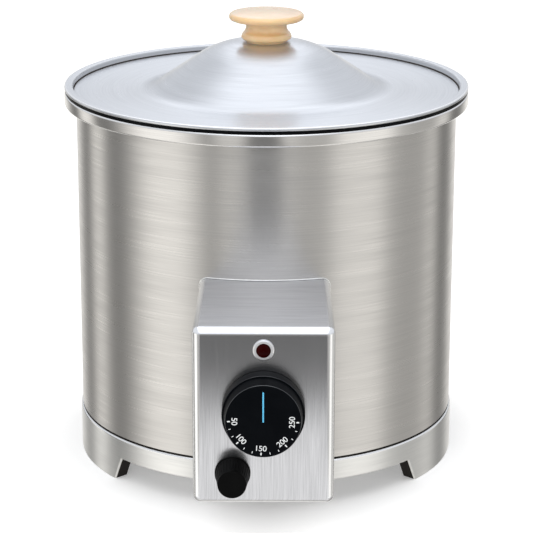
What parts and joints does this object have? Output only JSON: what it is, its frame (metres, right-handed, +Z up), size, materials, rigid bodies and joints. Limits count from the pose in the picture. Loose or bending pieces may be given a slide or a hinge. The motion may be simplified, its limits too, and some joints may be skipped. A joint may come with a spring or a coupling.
{
  "type": "wax melting pot",
  "caption": "Round stainless steel wax melting pot with a lift-off domed lid and knob, a cast base ring with legs, and a front control box with dial, lamp and fuse holder.",
  "frame": {"origin": "on the floor, under the middle of the whole; the pot's own axis stands 46.7 mm behind it, at y = 0.0467", "axes": "+Z up, control box towards -Y, so +Y runs from the front to the back, +X to the right seen from the front"},
  "size_m": [0.276, 0.3958, 0.308],
  "materials": {
    "shell_steel": "stainless steel sheet, brushed round the pot",
    "pot_steel": "deep-drawn stainless steel, satin",
    "rim_steel": "stainless steel, brushed round the rim",
    "lid_steel": "spun stainless steel, fine satin",
    "seal_rubber": "black silicone, smooth",
    "knob_cream": "moulded urea resin, cream, satin",
    "insert_brass": "turned brass",
    "base_aluminium": "cast aluminium, brushed",
    "cover_steel": "zinc-plated sheet steel",
    "zinc_fastener": "zinc-plated steel fastener",
    "insulation_wool": "mineral wool",
    "heater_steel": "mica band heater in a steel jacket",
    "ceramic": "steatite ceramic and plated studs",
    "box_steel": "stainless steel sheet, brushed, welded and rounded",
    "black_rubber": "black rubber",
    "terminal_plastic": "polyamide, natural",
    "lamp_bezel": "bright plated bezel",
    "lamp_red": "dark red polycarbonate, lamp off",
    "lamp_plastic": "black polyamide",
    "lead_wire": "silicone-insulated wire",
    "dial_black": "moulded black plastic, satin, with white and blue print",
    "spindle_steel": "turned steel",
    "thermostat_black": "moulded phenolic",
    "bulb_copper": "copper bulb and capillary",
    "fuse_black": "moulded black phenolic, satin",
    "fuse_glass": "glass cartridge with end caps",
    "gland_black": "black polyamide"
  },
  "bodies": {
    "pot": {"outer_shell": "shell_steel", "inner_pot": "pot_steel", "pot_studs": "pot_steel", "rim_collar": "rim_steel", "rim_seal": "seal_rubber", "earth_stud": "insert_brass", "earth_nut": "insert_brass", "base_ring": "base_aluminium", "bottom_cover": "cover_steel", "box_brackets": "cover_steel", "base_washers": "zinc_fastener", "base_nuts": "zinc_fastener", "box_screws": "zinc_fastener", "block_screw": "zinc_fastener", "thermostat_screws": "zinc_fastener", "heater_clamp_bolts": "zinc_fastener", "insulation_slab": "insulation_wool", "insulation_blanket": "insulation_wool", "heater_band": "heater_steel", "bulb_clip": "heater_steel", "heater_terminals": "ceramic", "control_box": "box_steel", "wire_grommet": "black_rubber", "gland_washer": "black_rubber", "gland_seal": "black_rubber", "terminal_block": "terminal_plastic", "lamp_bezel": "lamp_bezel", "lamp_lens": "lamp_red", "lamp_body": "lamp_plastic", "lamp_nut": "lamp_plastic", "heater_leads": "lead_wire", "lamp_leads": "lead_wire", "thermostat_body": "thermostat_black", "sensor_bulb": "bulb_copper", "capillary_tube": "bulb_copper", "fuse_holder": "fuse_black", "fuse_holder_nut": "fuse_black", "gland_body": "gland_black", "gland_cap_nut": "gland_black", "gland_locknut": "gland_black"},
    "lid": {"lid": "lid_steel", "lid_knob": "knob_cream", "lid_knob_insert": "insert_brass", "lid_knob_screw": "zinc_fastener", "lid_knob_washer": "zinc_fastener"},
    "dial": {"dial_knob": "dial_black", "thermostat_spindle": "spindle_steel"},
    "fuse": {"fuse_cartridge": "fuse_glass"},
    "fuse_cap": {"fuse_cap": "fuse_black"}
  },
  "joints": [
    {"name": "lid_lift", "type": "slide", "parent": "pot", "child": "lid", "axis": [0, 0, 1], "range_m": [0, 0.15]},
    {"name": "dial_turn", "type": "hinge", "parent": "pot", "child": "dial", "pos_m": [0, -0.1783, 0.1041], "axis": [0, 1, 0], "range_deg": [0, 262]},
    {"name": "fuse_pull", "type": "slide", "parent": "pot", "child": "fuse", "axis": [0, -1, 0], "range_m": [0, 0.03]},
    {"name": "fuse_cap_turn", "type": "hinge", "parent": "fuse", "child": "fuse_cap", "pos_m": [-0.0189, -0.1783, 0.0629], "axis": [0, 1, 0], "range_deg": [-90, 0]}
  ]
}
